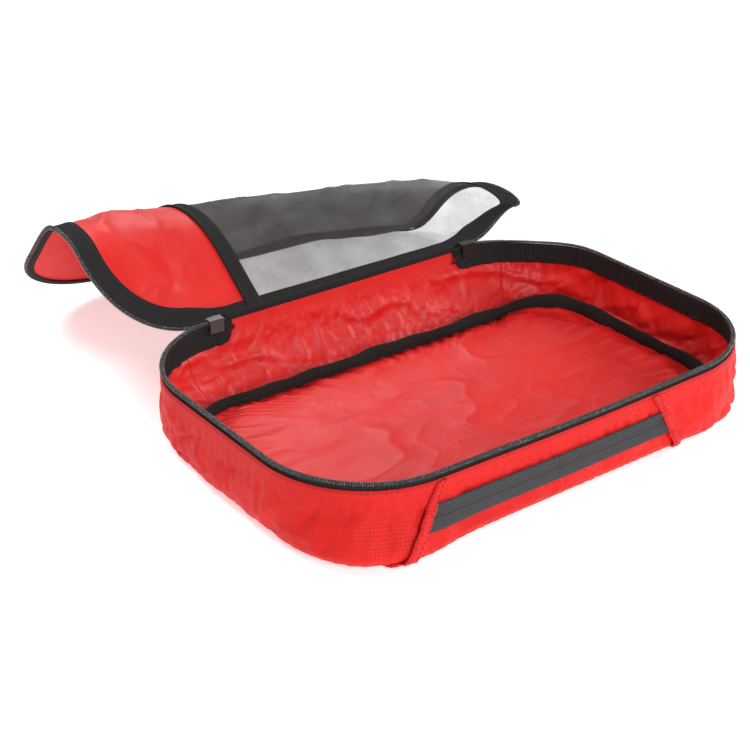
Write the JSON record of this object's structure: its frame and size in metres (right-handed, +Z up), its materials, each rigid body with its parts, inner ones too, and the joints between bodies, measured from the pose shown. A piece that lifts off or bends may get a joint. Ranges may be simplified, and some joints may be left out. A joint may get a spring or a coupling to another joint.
{
  "type": "zip-around packing case",
  "caption": "Shallow rectangular cloth packing case with a folding lid of coated cloth and mesh, a coil zipper round the rim and a webbing handle on one long side.",
  "frame": {"origin": "centre of the case's floor, on the surface that it stands on", "axes": "+X along the long side, to the right seen from the handle; +Y from the handle to the hinge and the open lid; +Z up"},
  "size_m": [0.36, 0.4202, 0.0996],
  "materials": {
    "coated_cloth": "red ripstop cloth with a glossy coating inside",
    "zipper_tape": "black ribbed woven tape",
    "binding": "black folded binding tape",
    "zipper_coil": "black nylon coil",
    "mesh": "dark fine warp-knit mesh",
    "webbing": "charcoal herringbone webbing",
    "slider": "grey-black enamelled zinc",
    "slider_pull": "black moulded tab",
    "thread": "dark red sewing thread"
  },
  "bodies": {
    "bag": {"bar_tack_left": "thread", "bar_tack_right": "thread", "floor_binding": "binding", "floor_panel": "coated_cloth", "handle_end_left": "webbing", "handle_end_right": "webbing", "handle_seam_left": "coated_cloth", "handle_seam_right": "coated_cloth", "hinge_binding": "binding", "hinge_tape_bag": "zipper_tape", "wall_back": "coated_cloth", "wall_front": "coated_cloth", "wall_left": "coated_cloth", "wall_right": "coated_cloth", "zipper_coil_bag": "zipper_coil", "zipper_tape_bag": "zipper_tape"},
    "handle": {"handle_webbing": "webbing"},
    "lid_rear": {"lid_coated_panel_rear": "coated_cloth", "lid_coil_rear": "zipper_coil", "lid_divider_rear": "binding", "lid_mesh_rear": "mesh", "lid_tape_rear": "zipper_tape"},
    "lid_front": {"lid_coated_panel_front": "coated_cloth", "lid_coil_front": "zipper_coil", "lid_divider_front": "binding", "lid_mesh_front": "mesh", "lid_tape_front": "zipper_tape"},
    "slider_left": {"slider_body_left": "slider"},
    "slider_right": {"slider_body_right": "slider"},
    "pull_left": {"slider_pull_left": "slider_pull"},
    "pull_right": {"slider_pull_right": "slider_pull"}
  },
  "joints": [
    {"name": "lid_hinge", "type": "hinge", "parent": "bag", "child": "lid_rear", "pos_m": [0, 0.121, 0.052], "axis": [1, 0, 0], "range_deg": [0, 148]},
    {"name": "lid_fold", "type": "hinge", "parent": "lid_rear", "child": "lid_front", "pos_m": [0, 0.23144, 0.10604], "axis": [1, 0, 0], "range_deg": [0, 94]},
    {"name": "handle_pull", "type": "slide", "parent": "bag", "child": "handle", "axis": [0, -1, 0], "range_m": [0, 0.022]},
    {"name": "slider_left_track", "type": "hinge", "parent": "bag", "child": "slider_left", "pos_m": [-0.108, 0.049, 0.052], "axis": [0, 0, 1], "range_deg": [0, 80]},
    {"name": "pull_left_swing", "type": "hinge", "parent": "slider_left", "child": "pull_left", "pos_m": [-0.1096, 0.12393, 0.0446], "axis": [0.9998, 0.0213, 0], "range_deg": [0, 90]},
    {"name": "slider_right_track", "type": "hinge", "parent": "bag", "child": "slider_right", "pos_m": [0.108, 0.049, 0.052], "axis": [0, 0, -1], "range_deg": [0, 80]},
    {"name": "pull_right_swing", "type": "hinge", "parent": "slider_right", "child": "pull_right", "pos_m": [0.1096, 0.12393, 0.0446], "axis": [0.9998, -0.0213, 0], "range_deg": [0, 90]}
  ],
  "couplings": [
    {"joint": "lid_fold", "follows": "lid_hinge", "ratio": 0.63514}
  ]
}
